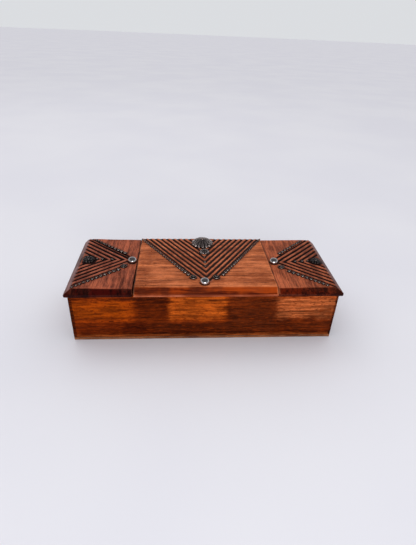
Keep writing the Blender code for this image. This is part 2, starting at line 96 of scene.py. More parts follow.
# Where the grooves and beads lie, as in the CAD. Pairs are for arm a, on the right looking along the
# middle line of the Vs, and for arm b, on the left. Angles and turn are in degrees. The lengths are:
#   step: from one V's corner to the next      outer: from the first V out to the short outer grooves
#   beads: from the first V out to the beads   starts and middle: along the middle line, from the corner
CARVINGS = {
    "left": {
        "corner": (-0.0862, 0.0084),
        "turn": 179.5,
        "angles": (39.9, 40.5),
        "step": 0.0096,
        "count": 5,
        "outer": (0.0040, 0.0062),
        "outer_start": 0.0040,
        "beads": (0.0056, 0.0102),
        "bead_starts": (0.0090, 0.0120),
        "middle": (0.0223, 0.0335, 0.0398),
    },
    "centre": {
        "corner": (0.0012, -0.0443),
        "turn": 90.0,
        "angles": (32.7, 33.3),
        "step": 0.0110,
        "count": 8,
        "outer": (0.0048, 0.0050),
        "outer_start": 0.0110,
        "beads": (0.0079, 0.0088),
        "bead_starts": (0.0150, 0.0150),
        "middle": (0.0337, 0.0430, 0.0552),
    },
    "right": {
        "corner": (0.0883, 0.0021),
        "turn": 2.8,
        "angles": (43.2, 40.7),
        "step": 0.0095,
        "count": 5,
        "outer": (0.0062, 0.0060),
        "outer_start": 0.0030,
        "beads": (0.0103, 0.0098),
        "bead_starts": (0.0090, 0.0090),
        "middle": (0.0227, 0.0317, 0.0387),
    },
}

# Small damage on the lids: (lid, x, y, radius)
PITS = (
    ("centre", -0.0630, 0.0253, 0.0008),
    ("centre", -0.0650, -0.0497, 0.0009),
    ("left", -0.0900, 0.0143, 0.0012),
    ("right", 0.0900, 0.0123, 0.0012),
    ("left", -0.0815, -0.0560, 0.0010),
)
PIT_DEPTH = 0.0010
PIT_RIM = (0.3, 1.1)

# What each lid carries
LID_HINGES = {
    "left": ("hinge_left",),
    "centre": ("hinge_back_left", "hinge_back_right"),
    "right": ("hinge_right",),
}
LID_ORNAMENTS = {
    "left": ("stud_left", "rosette_left"),
    "centre": ("stud_centre", "boss_large", "boss_small"),
    "right": ("stud_right", "rosette_right"),
}

# Hinge gains, as in the CAD
GAP = 0.0003
LEAF_CLEARANCE = 1.5 * GAP
BARREL_CLEARANCE = 1.2 * GAP
LEAF_REACH = 0.0077
LEAF_THICKNESS = 0.0009
BARREL_RADIUS = 0.0014
HINGE_HALF_LENGTH = 0.0150

# Boards of the body
BOARD_ARRIS = 0.0006
BOARD_CUT_STEP = 0.0090
BOARD_WAVE = 0.00009
BOARD_WAVE_SIZE = 0.030
BODY_CORNER_RADIUS = 0.0012

# Beads: radius and spacing at the outer end (small, tight) and at the corner end (large, wide) of a row
BEAD_SEAT = 0.00003
BEAD_SMALL = 0.0010
BEAD_LARGE = 0.0019
BEAD_TIGHT = 0.0042
BEAD_WIDE = 0.0060
BEAD_RUN = 0.0450
BEAD_EDGE = 0.0010
MIDDLE_BEAD_RADIUS = 0.0012
BEAD_SEGMENTS = 18
RING_SEGMENTS = 32
# How much beads differ: shares of size, height and spacing, and degrees of lean
BEAD_SIZES = (0.92, 1.06)
BEAD_HEIGHTS = (0.85, 1.05)
BEAD_SPACINGS = (0.93, 1.07)
BEAD_LEAN = 5.0
BEAD_SEED = 2024

# Ring discs that stand in for the first bead of a row: (x, y, radius)
RINGS = {
    "left": {"b": ((-0.0932, -0.0073, 0.0036),)},
    "centre": {"a": ((0.0120, -0.0352, 0.0037),), "b": ((-0.0137, -0.0352, 0.0037),)},
    "right": {"a": ((0.0910, -0.0105, 0.0036),)},
}
# Their height as a share of the radius, and their section: share of radius, share of height, blackening
RING_HEIGHT = 0.42
RING_PROFILE = (
    (0.97, 0.00, 1.0),
    (1.00, 0.35, 0.4),
    (0.93, 0.70, 0.0),
    (0.82, 0.72, 0.2),
    (0.70, 0.42, 0.9),
    (0.52, 0.38, 1.0),
    (0.46, 0.62, 0.7),
    (0.34, 0.90, 0.1),
    (0.17, 1.00, 0.0),
    (0.02, 1.02, 0.0),
)

# Where a lid is dark from dirt and painted shade (around ornaments and beads, in the grooves, along the
# seams, inside the last V), and where it is worn and painted lighter as a highlight
GROOVE_GRIME_AND_SHADE_POWER = 0.8
SPOT_SHARE = 0.9
SPOT_SHADE_AND_GRIME = 0.95
SPOT_REACH = 0.0022
SMUDGE_SHADE_AND_GRIME = 0.26
SMUDGE_REACH = 0.0080
ROSETTE_HALO = 0.0030
SEAM_REACH = (0.0005, 0.0016)
INSIDE_GRIME = 0.30
INSIDE_REACH = 0.0030
RIDGE_REACH = 0.0020
BEVEL_REACH = (-0.0002, 0.0006)
WEAR_AND_HIGHLIGHT_REACH = (0.0002, 0.0012)

# The front board's stains, with painted reflections and painted shade: colour, strength, x range, z range,
# softness in x and z
FRONT_STAINS_AND_PAINTED_LIGHT = (
    # Broad amber and dark patches: stain blotches with painted reflections
    ((0.42, 0.068, 0.002), 0.90, (-0.150, -0.082), (0.030, 0.052), (0.016, 0.007)),
    ((0.046, 0.006, 0.001), 0.90, (-0.078, -0.040), (0.022, 0.060), (0.012, 0.008)),
    ((0.62, 0.118, 0.011), 0.95, (-0.040, 0.022), (0.028, 0.060), (0.008, 0.010)),
    ((0.070, 0.014, 0.004), 0.90, (0.024, 0.080), (0.010, 0.060), (0.008, 0.010)),
    ((0.66, 0.170, 0.050), 0.90, (0.080, 0.150), (0.028, 0.056), (0.014, 0.010)),
    # Dark band low down, and the worn line along the bottom
    ((0.048, 0.004, 0.001), 0.85, (-0.150, -0.060), (0.008, 0.024), (0.030, 0.010)),
    ((0.110, 0.020, 0.005), 0.85, (-0.060, 0.150), (0.010, 0.024), (0.030, 0.010)),
    ((0.030, 0.004, 0.001), 0.85, (-0.060, 0.078), (0.0070, 0.0100), (0.030, 0.0015)),
    ((0.46, 0.110, 0.022), 0.80, (-0.150, 0.150), (0.003, 0.007), (0.020, 0.003)),
    # Dark streaks under the lids
    ((0.025, 0.004, 0.002), 0.95, (-0.094, -0.058), (0.0535, 0.0570), (0.008, 0.0020)),
    ((0.016, 0.002, 0.001), 0.95, (0.000, 0.034), (0.0515, 0.0545), (0.008, 0.0020)),
    # A dent and two nail holes
    ((0.008, 0.002, 0.002), 1.00, (-0.1065, -0.1010), (0.0252, 0.0266), (0.0015, 0.0006)),
    ((0.008, 0.002, 0.002), 1.00, (0.1382, 0.1402), (0.0535, 0.0548), (0.0008, 0.0005)),
    ((0.008, 0.002, 0.002), 1.00, (0.1370, 0.1388), (0.0500, 0.0512), (0.0008, 0.0005)),
    # Painted shade on the rounded corners
    ((0.010, 0.002, 0.001), 0.97, (-0.160, -0.1432), (-0.010, 0.070), (0.0015, 0.004)),
    ((0.010, 0.002, 0.001), 0.97, (0.1440, 0.160), (-0.010, 0.070), (0.0015, 0.004)),
)

# Wood: how far the grain swirls, and each kind's light tone, dark tone and end grain
GRAIN_SWIRL = 0.006
WOOD_TONES = {
    "left_lid": ((0.50, 0.125, 0.058), (0.15, 0.036, 0.020), (0.030, 0.005, 0.003)),
    "centre_lid": ((0.76, 0.220, 0.078), (0.29, 0.064, 0.018), (0.05, 0.010, 0.004)),
    "right_lid": ((0.56, 0.140, 0.055), (0.19, 0.044, 0.019), (0.035, 0.006, 0.003)),
    "wall": ((0.31, 0.042, 0.002), (0.10, 0.011, 0.001), (0.015, 0.003, 0.001)),
    "back_wall": ((0.26, 0.050, 0.008), (0.09, 0.015, 0.003), (0.020, 0.004, 0.001)),
    "end_wall": ((0.24, 0.052, 0.012), (0.09, 0.018, 0.006), (0.025, 0.006, 0.003)),
    "base": ((0.42, 0.160, 0.060), (0.14, 0.040, 0.014), (0.05, 0.014, 0.006)),
}

# The carved lids' colours: dirt with painted shade, then the darker and lighter tone of each worked part:
# the ridges' own colour, painted shade on the front bevel, a painted reflection on the outer bevel, and
# painted light and shade on the lip. The centre lid has no outer bevel.
CARVED_TONES = {
    "left_lid": {
        "dirt_and_shade": (0.012, 0.005, 0.005),
        "ridge": ((0.17, 0.045, 0.026), (0.37, 0.105, 0.058)),
        "shaded_front_bevel": ((0.008, 0.001, 0.001), (0.045, 0.002, 0.001)),
        "outer_bevel_reflection": ((0.12, 0.060, 0.056), (0.26, 0.140, 0.130)),
        "lip_light_and_shade": ((0.012, 0.002, 0.002), (0.050, 0.007, 0.004)),
    },
    "centre_lid": {
        "dirt_and_shade": (0.026, 0.012, 0.010),
        "ridge": ((0.27, 0.070, 0.032), (0.55, 0.160, 0.070)),
        "shaded_front_bevel": ((0.055, 0.004, 0.001), (0.350, 0.047, 0.004)),
        "lip_light_and_shade": ((0.240, 0.045, 0.015), (0.520, 0.150, 0.070)),
    },
    "right_lid": {
        "dirt_and_shade": (0.012, 0.005, 0.005),
        "ridge": ((0.19, 0.050, 0.025), (0.42, 0.115, 0.052)),
        "shaded_front_bevel": ((0.008, 0.001, 0.001), (0.105, 0.009, 0.001)),
        "outer_bevel_reflection": ((0.10, 0.040, 0.032), (0.24, 0.110, 0.090)),
        "lip_light_and_shade": ((0.020, 0.003, 0.002), (0.100, 0.018, 0.008)),
    },
}

# Metals: bright and tarnished tone, roughness, and the patina in the hollows where there is any
METALS = {
    "worn_nickel": ((0.62, 0.60, 0.59), (0.30, 0.27, 0.26), 0.17),
    "blackened_silver": ((0.62, 0.52, 0.48), (0.15, 0.115, 0.105), 0.20, (0.006, 0.004, 0.004)),
    "dark_pewter_beads": ((0.42, 0.35, 0.31), (0.09, 0.068, 0.058), 0.24, (0.008, 0.006, 0.005)),
    "dull_pewter": ((0.12, 0.095, 0.090), (0.035, 0.027, 0.025), 0.32, (0.006, 0.005, 0.004)),
    "aged_brass": ((0.52, 0.38, 0.16), (0.20, 0.13, 0.06), 0.34),
}

# Felt
FELT_STEP = 0.0025
FELT_SEED = 31
FELT_SWELL = 0.00012
FELT_SWELL_SIZE = 0.018
FELT_EDGE_SIZE = 0.012
FELT_EDGE_DROOP = 0.0006
FELT_EDGE_INSET = 0.0002
FELT_SINK = 0.0002
FELT_UNDER_GAP = 0.00005
FELT_DEEP = (0.075, 0.008, 0.014)
FELT_MIDDLE = (0.16, 0.020, 0.032)
FELT_NAP = (0.20, 0.030, 0.042)
FELT_LINT = (0.32, 0.16, 0.14)

# Studio
FLOOR_RADIUS = 30.0
FLOOR_GAP = 0.00005
FLOOR_TONES = ((0.75, 0.745, 0.80), (0.78, 0.775, 0.82))
SKY_ROUND = (0.71, 0.725, 0.75, 1.0)
SKY_OVERHEAD = (0.12, 0.12, 0.13, 1.0)
SKY_RAMP = (0.25, 0.62)
GLOW_ENERGY = 2.05
GLOW_SPREAD = math.radians(120)
GLOW_LEAN = math.radians(-20)
# Area lights: place, size, energy, colour, and whether the metal mirrors it
AREA_LIGHTS = {
    "key": ((-0.5, 0.9, 1.6), 1.0, 2.5, (1.0, 0.99, 0.97), False),
    "fill": ((0.0, -1.4, 0.45), 0.9, 8.5, (0.97, 0.98, 1.0), True),
}


# Small shape helpers


def centre_of(node):
    low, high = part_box(node)
    return (low + high) / 2


def size_of(node):
    low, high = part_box(node)
    return high - low


def ripple(x, y, size, seed):
    """Smooth unevenness between -1 and 1, with swells about size across."""
    rng = random.Random(seed)
    total = 0.0
    for _ in range(5):
        turn = rng.uniform(0.0, math.tau)
        rate = math.tau * rng.uniform(0.6, 1.4) / size
        phase = rng.uniform(0.0, math.tau)
        total = total + np.sin(rate * (x * math.cos(turn) + y * math.sin(turn)) + phase)
    return total / 3.0


def smooth_step(value, low, high):
    share = np.clip((value - low) / (high - low), 0.0, 1.0)
    return share * share * (3.0 - 2.0 * share)


def soft_max(a, b, blend):
    near = np.maximum(blend - np.abs(a - b), 0.0) / blend
    return np.maximum(a, b) + near * near * blend / 4.0


def finish_mesh(name, mesh, material, body, node, sharp=35.0):
    """Make the piece, shade it smooth, give it its material, and tie it to its body and CAD node."""
    mesh.shade_smooth()
    mesh.set_sharp_from_angle(angle=math.radians(sharp))
    mesh.materials.clear()
    mesh.materials.append(material)
    piece = bpy.data.objects.new(name, mesh)
    bpy.context.scene.collection.objects.link(piece)
    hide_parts(node)
    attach(piece, body)
    return piece


def mesh_from_bmesh(name, bm):
    bmesh.ops.recalc_face_normals(bm, faces=bm.faces)
    mesh = bpy.data.meshes.new(name)
    bm.to_mesh(mesh)
    bm.free()
    return mesh


def join_rings(bm, lower, upper):
    """Faces between two closed rings of vertices."""
    for i in range(len(lower)):
        j = (i + 1) % len(lower)
        bm.faces.new((lower[i], lower[j], upper[j], upper[i]))


def cut_away(mesh, cutters):
    """Subtract closed cutter meshes from a mesh, and give the new mesh."""
    target = bpy.data.objects.new("cut_target", mesh)
    bpy.context.scene.collection.objects.link(target)
    tools = []
    for cutter in cutters:
        tool = bpy.data.objects.new("cut_tool", cutter)
        bpy.context.scene.collection.objects.link(tool)
        tools.append(tool)
        modifier = target.modifiers.new("cut", "BOOLEAN")
        modifier.operation = "DIFFERENCE"
        modifier.solver = "MANIFOLD"
        modifier.object = tool
    bpy.context.view_layer.update()
    evaluated = target.evaluated_get(bpy.context.evaluated_depsgraph_get())
    result = bpy.data.meshes.new_from_object(evaluated)
    for obj in [target, *tools]:
        bpy.data.objects.remove(obj)
    return result


def store_attribute(mesh, name, values):
    attribute = mesh.attributes.new(name, "FLOAT", "POINT")
    attribute.data.foreach_set("value", np.asarray(values, np.float32))


def vertex_places(mesh):
    flat = np.zeros(len(mesh.vertices) * 3)
    mesh.vertices.foreach_get("co", flat)
    return flat.reshape(-1, 3).T


# Shader helpers


class Field:
    """A value that varies over the surface. Arithmetic on it adds math nodes."""

    def __init__(self, shader, socket):
        self.shader = shader
        self.socket = socket

    def math(self, operation, other=0.0):
        return self.shader.node("ShaderNodeMath", 0, {0: self, 1: other}, operation=operation)

    def __add__(self, other):
        return self.math("ADD", other)

    def __sub__(self, other):
        return self.math("SUBTRACT", other)

    def __mul__(self, other):
        return self.math("MULTIPLY", other)

    def ramp(self, low, high, to_low=0.0, to_high=1.0):
        """Smooth step from to_low to to_high while this value goes from low to high."""
        inputs = {"Value": self, "From Min": low, "From Max": high, "To Min": to_low, "To Max": to_high}
        return self.shader.node("ShaderNodeMapRange", "Result", inputs, interpolation_type="SMOOTHSTEP")


class Shader:
    """A Principled material and short calls that add the nodes feeding it."""

    def __init__(self, name):
        self.material = bpy.data.materials.new(name)
        self.material.use_nodes = True
        self.tree = self.material.node_tree
        self.principled = self.tree.nodes["Principled BSDF"]

    def put(self, socket, value):
        if isinstance(value, Field):
            self.tree.links.new(value.socket, socket)
        elif isinstance(value, tuple) and socket.type == "RGBA":
            socket.default_value = (*value, 1.0)
        else:
            socket.default_value = value

    def set(self, **values):
        for name, value in values.items():
            self.put(self.principled.inputs[name.replace("_", " ")], value)

    def node(self, kind, output, inputs=(), **settings):
        """Add a node with its settings and inputs, and give one of its outputs."""
        node = self.tree.nodes.new(kind)
        for name, value in settings.items():
            setattr(node, name, value)
        for key, value in dict(inputs).items():
            self.put(node.inputs[key], value)
        return Field(self, node.outputs[output])

    def scaled(self, vector, factors):
        return self.node("ShaderNodeVectorMath", 0, {0: vector, 1: factors}, operation="MULTIPLY")

    def object_place(self):
        return self.node("ShaderNodeTexCoord", "Object")

    def object_normal(self):
        return self.node("ShaderNodeTexCoord", "Normal")

    def split(self, vector):
        """The vector's X, Y and Z."""
        node = self.node("ShaderNodeSeparateXYZ", 0, {0: vector}).socket.node
        return [Field(self, output) for output in node.outputs]

    def noise(self, vector, scale=1.0, detail=3.0, roughness=0.55, distortion=0.0):
        inputs = {"Vector": vector, "Scale": scale, "Detail": detail}
        inputs.update({"Roughness": roughness, "Distortion": distortion})
        return self.node("ShaderNodeTexNoise", "Fac", inputs)

    def mix(self, factor, a, b, blend="MIX"):
        inputs = {"Factor": factor, 6: a, 7: b}
        return self.node("ShaderNodeMix", 2, inputs, data_type="RGBA", blend_type=blend)

    def attribute(self, name):
        return self.node("ShaderNodeAttribute", "Fac", attribute_name=name)

    def bump(self, height, strength, distance, normal=None):
        inputs = {"Height": height, "Strength": strength, "Distance": distance}
        if normal is not None:
            inputs["Normal"] = normal
        return self.node("ShaderNodeBump", "Normal", inputs)


# Wood


def grain_space(shader, axis):
    """Object coordinates turned so that the grain runs along X."""
    x, y, z = shader.split(shader.object_place())
    order = {"X": (x, y, z), "Y": (y, x, z)}[axis]
    return shader.node("ShaderNodeCombineXYZ", 0, dict(enumerate(order)))


def grain_noise(shader, place, along, across, detail, roughness=0.55):
    """Noise with its own frequency along the grain and across it."""
    return shader.noise(shader.scaled(place, (along, across, across)), 1.0, detail, roughness)


def swirled(shader, place):
    """Grain coordinates bent sideways a little, so that the grain isn't ruled straight."""
    swirl = (grain_noise(shader, place, 14.0, 40.0, 2.0) - 0.5) * GRAIN_SWIRL
    shift = shader.node("ShaderNodeCombineXYZ", 0, {1: swirl, 2: swirl})
    return shader.node("ShaderNodeVectorMath", 0, {0: place, 1: shift}, operation="ADD")


def patch_mask(shader, wobble, x_range, z_range, softness):
    """1 inside a ragged rectangle of the front's X and Z, falling to 0 over softness."""

    def between(value, low, high, blur):
        shifted = value + wobble * (blur * 2.0)
        rise = shifted.ramp(low - blur / 2, low + blur / 2)
        return rise * shifted.ramp(high - blur / 2, high + blur / 2, 1.0, 0.0)

    x, _, z = shader.split(shader.object_place())
    return between(x, *x_range, softness[0]) * between(z, *z_range, softness[1])


def add_stains_and_light(shader, colour, place, streaks, tone, stains_and_light):
    """Ragged stains with painted reflections and shade on the front face only, the grain showing through
    them.
    """
    ragged = grain_noise(shader, place, 90.0, 220.0, 6.0, 0.7) - 0.5
    front_face = shader.split(shader.object_normal())[1].ramp(-0.7, -0.3, 1.0, 0.0)
    streaky = front_face * streaks.ramp(0.35, 0.65, 0.55, 1.0)
    for patch_colour, strength, x_range, z_range, softness in stains_and_light:
        mask = patch_mask(shader, ragged, x_range, z_range, softness)
        colour = shader.mix(mask * (streaky * strength), colour, patch_colour)
    return shader.mix(1.0, colour, tone.ramp(1.02, 1.46, 0.55, 1.30), "MULTIPLY")


def add_carved_tones(shader, colour, light, tone, streaks, blotches, carved):
    """The ridge tops' own colour, painted light and shade on the bevels and lip, dirt and painted shade in
    the carving, and wear with a painted highlight along the arrises.
    """
    patchy = blotches.ramp(0.30, 0.55, 0.85, 1.0)
    # The bevels' and lip's tones are painted shade, reflection and highlight; the ridges' tone is their own
    # colour.
    for part in ("ridge", "shaded_front_bevel", "outer_bevel_reflection", "lip_light_and_shade"):
        if part in carved:
            part_tone = shader.mix(tone.ramp(1.05, 1.45), *carved[part])
            colour = shader.mix(shader.attribute(part) * patchy, colour, part_tone)
    # Dirt and painted shade in the carving, along the seams and around the ornaments.
    dirt_and_shade = shader.attribute("grime_and_shade") + (streaks - 0.5) * 0.25 + (blotches - 0.5) * 0.5
    colour = shader.mix(dirt_and_shade.ramp(0.10, 0.62), colour, carved["dirt_and_shade"])
    # Wear with a painted highlight along the arrises.
    wear_and_highlight = shader.attribute("wear_and_highlight") * blotches.ramp(0.35, 0.65)
    return shader.mix(wear_and_highlight * 0.5, colour, light)


def wood(name, axis, tones, specular, stains_and_light=(), carved=None, flecking=0.5):
    """Stained, waxed hardwood: growth bands, streaks, pores, blotches, end grain, and any stains, painted
    light or carving.

    The tones are the light wood, the dark wood and the end grain."""
    light, dark, end_grain = tones
    shader = Shader(name)
    place = grain_space(shader, axis)
    grain = swirled(shader, place)
    bands = grain_noise(shader, grain, 6.0, 150.0, 2.0)
    streaks = grain_noise(shader, grain, 28.0, 800.0, 3.0)
    fibres = grain_noise(shader, grain, 130.0, 3200.0, 2.0)
    pores = grain_noise(shader, grain, 210.0, 1900.0, 1.0).ramp(0.62, 0.74)
    lines = grain_noise(shader, grain, 22.0, 420.0, 5.0, 0.75)
    glints = grain_noise(shader, grain, 110.0, 900.0, 4.0, 0.7)
    flecks = grain_noise(shader, grain, 260.0, 620.0, 3.0, 0.7)
    blotches = shader.noise(shader.object_place(), scale=38.0, detail=4.0, roughness=0.6)

    tone = bands * 0.9 + streaks * 0.7 + blotches * 0.9
    colour = shader.mix(tone.ramp(1.02, 1.48), dark, light)
    if stains_and_light:
        colour = add_stains_and_light(shader, colour, place, streaks, tone, stains_and_light)
    colour = shader.mix(lines.ramp(0.46, 0.66, 0.0, 0.75), colour, end_grain)
    colour = shader.mix(glints.ramp(0.50, 0.68, 0.0, 0.55), colour, light)
    colour = shader.mix(flecks.ramp(0.50, 0.70, 0.0, flecking), colour, dark)
    colour = shader.mix(fibres.ramp(0.3, 0.8, 0.0, 0.35), colour, dark, "MULTIPLY")
    colour = shader.mix(pores * 0.55, colour, end_grain)

    across = shader.split(shader.object_normal())["XYZ".index(axis)]
    facing = across.math("ABSOLUTE").ramp(0.45, 0.8)
    speckle = shader.noise(shader.object_place(), scale=900.0, detail=2.0)
    end_tone = shader.mix(speckle.ramp(0.4, 0.75), end_grain, dark)
    colour = shader.mix(facing * 0.85, colour, end_tone)
    if carved:
        colour = add_carved_tones(shader, colour, light, tone, streaks, blotches, carved)

    gloss = (streaks + blotches) * 0.16 + 0.20 + pores * 0.25
    relief = fibres * 0.45 - pores * 0.8 + streaks * 0.7
    normal = shader.bump(relief, 0.5, 0.00022)
    waviness = grain_noise(shader, place, 25.0, 70.0, 1.0)
    normal = shader.bump(waviness, 0.35, 0.0016, normal)
    shader.set(Base_Color=colour, Roughness=gloss, Normal=normal, Specular_IOR_Level=specular)
    return shader.material


# Metal and felt


def metal(name, bright, tarnish, roughness, patina=None):
    """Old cast or turned metal: cloudy tarnish, fine scratches, and black patina in the hollows."""
    shader = Shader(name)
    place = shader.object_place()
    clouds = shader.noise(place, scale=600.0, detail=4.0, roughness=0.6)
    scratches = shader.noise(shader.scaled(place, (2600.0, 5200.0, 900.0)), detail=2.0)
    spots = shader.noise(place, scale=1500.0, detail=2.0).ramp(0.58, 0.72)
    colour = shader.mix(clouds.ramp(0.38, 0.68), bright, tarnish)
    colour = shader.mix(spots * 0.4, colour, tarnish)
    gloss = clouds * 0.18 + (roughness - 0.09) + spots * 0.15
    if patina:
        hollow = (shader.attribute("hollow") + (clouds - 0.5) * 0.5).ramp(0.18, 0.62)
        colour = shader.mix(hollow, colour, patina)
        gloss = gloss + hollow * 0.3
    normal = shader.bump(clouds * 0.7 + scratches * 0.2, 0.35, 0.00012)
    shader.set(Base_Color=colour, Roughness=gloss, Normal=normal, Metallic=1.0)
    return shader.material


def felt(name):
    """Pressed wool felt: matted fibres, soft nap and a little lint."""
    shader = Shader(name)
    place = shader.object_place()
    fibres = shader.noise(place, scale=2600.0, detail=3.0, roughness=0.7, distortion=2.5)
    matting = shader.noise(place, scale=420.0, detail=4.0, roughness=0.65, distortion=1.0)
    nap = shader.noise(place, scale=45.0, detail=3.0)
    lint = shader.noise(place, scale=1700.0, detail=1.0, distortion=4.0).ramp(0.70, 0.78)
    colour = shader.mix(matting.ramp(0.3, 0.7), FELT_DEEP, FELT_MIDDLE)
    colour = shader.mix(nap.ramp(0.35, 0.7, 0.0, 0.5), colour, FELT_NAP)
    colour = shader.mix(lint * 0.5, colour, FELT_LINT)
    normal = shader.bump(fibres * 0.6 + matting * 0.8, 0.9, 0.0006)
    shader.set(Base_Color=colour, Roughness=fibres.ramp(0.2, 0.8, 0.85, 1.0), Normal=normal)
    shader.set(Sheen_Weight=0.35, Sheen_Roughness=0.5, Specular_IOR_Level=0.2)
    return shader.material


# Carving


class Carving:
    """The nested V grooves of one lid, and the lines that the beads follow beside them."""

    def __init__(self, name, lid_box, seed):
        plan = CARVINGS[name]
        turn = math.radians(plan["turn"])
        self.plan = plan
        self.corner = plan["corner"]
        self.along = (math.cos(turn), math.sin(turn))
        self.across = (-math.sin(turn), math.cos(turn))
        self.angles = [math.radians(angle) for angle in plan["angles"]]
        self.name = name
        self.box = lid_box
        self.seed = seed

    def outer_gap(self, is_b):
        """How far the short outer groove lies from the first V."""
        return np.where(is_b, self.plan["outer"][1], self.plan["outer"][0])

    def place(self, x, y):
        """Distances along the middle line and away from it, the arm's angle, and whether it is arm b."""
        dx = x - self.corner[0]
        dy = y - self.corner[1]
        u = dx * self.along[0] + dy * self.along[1]
        v = dx * self.across[0] + dy * self.across[1]
        is_b = v > 0.0
        angle = np.where(is_b, self.angles[1], self.angles[0])
        return u, np.abs(v), angle, is_b

    def inwards(self, x, y):
        """Signed distance inwards from the first V, with the wobble of hand carving."""
        u, v, angle, _ = self.place(x, y)
        wobble = GROOVE_WOBBLE * ripple(x, y, GROOVE_WOBBLE_SIZE, self.seed)
        return u * np.sin(angle) - v * np.cos(angle) + wobble

    def past_flat(self, x):
        """How far a point of an end lid lies outside the flat top, towards the outer end."""
        if self.name == "centre":
            return 0.0 * x
        low, high = self.box
        outer = max(abs(low.x), abs(high.x)) - CHAMFER_INSET
        return np.maximum(np.abs(x) - outer, 0.0)

    def groove(self, x, y):
        """Carved share of the full depth: 0 on a ridge and 1 along the floor of a groove."""
        u, v, angle, is_b = self.place(x, y)
        inwards = self.inwards(x, y)
        pitch = self.plan["step"] * np.sin(angle)
        index = np.clip(np.round(inwards / pitch), 0, self.plan["count"] - 1)
        change = GROOVE_WIDTH_CHANGE * ripple(x, y, GROOVE_WIDTH_SIZE, self.seed + 1)
        width = GROOVE_HALF_WIDTH * (1.0 + change)
        past_end = self.past_flat(x)
        nested = np.hypot(inwards - index * pitch, past_end) / width
        before = np.maximum(self.plan["outer_start"] - u, 0.0)
        reach = np.hypot(inwards + self.outer_gap(is_b), np.hypot(before, past_end))
        outer = reach / (width * OUTER_GROOVE_SHARE)
        carved = [np.cos(np.pi / 2 * np.clip(spread, 0.0, 1.0)) ** 2 for spread in (nested, outer)]
        return np.maximum(carved[0], OUTER_GROOVE_SHARE * carved[1])

    def inside(self, x, y):
        """1 well inside the last V and 0 outside it."""
        angle = self.place(x, y)[2]
        last = self.plan["step"] * np.sin(angle) * (self.plan["count"] - 1)
        return smooth_step(self.inwards(x, y) - last, 0.0, INSIDE_REACH)

    def ridge(self, x, y):
        """1 between the grooves and 0 outside the pattern."""
        is_b = self.place(x, y)[3]
        pattern = smooth_step(self.inwards(x, y) + self.outer_gap(is_b), 0.0, RIDGE_REACH)
        return pattern * (1.0 - self.groove(x, y))

    def point(self, side, start, out):
        """Plan point beside arm a (0) or b (1), start along the middle line and out from the first V."""
        angle = self.angles[side]
        reach = (start * math.tan(angle) + out / math.cos(angle)) * (1 if side else -1)
        x = self.corner[0] + start * self.along[0] + reach * self.across[0]
        y = self.corner[1] + start * self.along[1] + reach * self.across[1]
        return x, y


class Lid:
    """One lid board's shape as a height above the frame's base for each plan point."""

    def __init__(self, name):
        self.sign, self.tilt, self.seam_taper, seed = LID_SHAPES[name]
        self.name = name
        self.body = f"{name}_lid"
        self.node = f"lid_{name}"
        self.low, self.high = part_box(self.node)
        self.carving = Carving(name, (self.low, self.high), seed)
        self.pits = [pit[1:] for pit in PITS if pit[0] == name]

    def outer_x(self):
        return self.low.x if self.sign < 0 else self.high.x

    def edges(self):
        """Width of the worked band along each side: left, right, front, back."""
        left = CHAMFER_INSET if self.sign < 0 else ARRIS_RADIUS
        right = CHAMFER_INSET if self.sign > 0 else ARRIS_RADIUS
        return left, right, CHAMFER_INSET, ARRIS_RADIUS

    def drop(self, distance, inset):
        """Fall of the top over a side's worked band: a small round arris or a slightly crowned chamfer."""
        flat = np.clip(distance / inset, 0.0, 1.0)
        rounded = np.sqrt(1.0 - (1.0 - flat) ** 2)
        if inset == ARRIS_RADIUS:
            return inset * (1.0 - rounded)
        rise = self.high.z - self.low.z - LIP_HEIGHT
        return rise * (1.0 - flat - (rounded - flat) * CHAMFER_ROUNDNESS)

    def inner_share(self, x):
        """0 at the lid's outer end and 1 at the seam, or 0 all over the centre lid."""
        if self.sign == 0:
            return 0.0 * x
        return np.clip(np.abs(x - self.outer_x()) / (self.high.x - self.low.x), 0.0, 1.0)

    def ground(self, x, y):
        """Top surface before the grooves are cut."""
        left, right, front, back = self.edges()
        drop = soft_max(
            soft_max(self.drop(x - self.low.x, left), self.drop(self.high.x - x, right), MITRE_BLEND),
            soft_max(self.drop(y - self.low.y, front), self.drop(self.high.y - y, back), MITRE_BLEND),
            MITRE_BLEND,
        )
        level = self.high.z - self.tilt * self.inner_share(x)
        return level + LID_WAVE * ripple(x, y, LID_WAVE_SIZE, self.carving.seed + 2) - drop

    def seams(self):
        """(x, strength) for the dirt and painted shade along the seams: heavy on the left seam, light on the
        right one.
        """
        seams = {"left": ((self.high.x, 1.0),), "right": ((self.low.x, 0.5),)}
        return seams.get(self.name, ((self.low.x, 1.0), (self.high.x, 0.5)))

    def pit_share(self, x, y):
        share = 0.0 * x
        for pit_x, pit_y, radius in self.pits:
            away = np.hypot(x - pit_x, y - pit_y) / radius
            share = np.maximum(share, 1.0 - smooth_step(away, *PIT_RIM))
        return share

    def height(self, x, y):
        fade = 1.0 - GROOVE_BACK_FADE * smooth_step(y, self.high.y - GROOVE_FADE, self.high.y)
        carved = GROOVE_DEPTH * self.carving.groove(x, y) * fade
        return self.ground(x, y) - carved - PIT_DEPTH * self.pit_share(x, y)


def grid_lines(low, high, low_inset, high_inset):
    """Plan lines across a lid, closer together where its edges are worked."""

    def worked(inset):
        steps = ARRIS_STEPS if inset == ARRIS_RADIUS else CHAMFER_GRID_STEPS
        turns = np.linspace(0.0, np.pi / 2, steps + 1)
        return inset * (1.0 - np.cos(turns))

    start = low + worked(low_inset)
    end = high - worked(high_inset)[::-1]
    count = int(round((end[0] - start[-1]) / GRID_STEP))
    middle = np.linspace(start[-1], end[0], count + 1)[1:-1]
    return np.concatenate([start, middle, end])


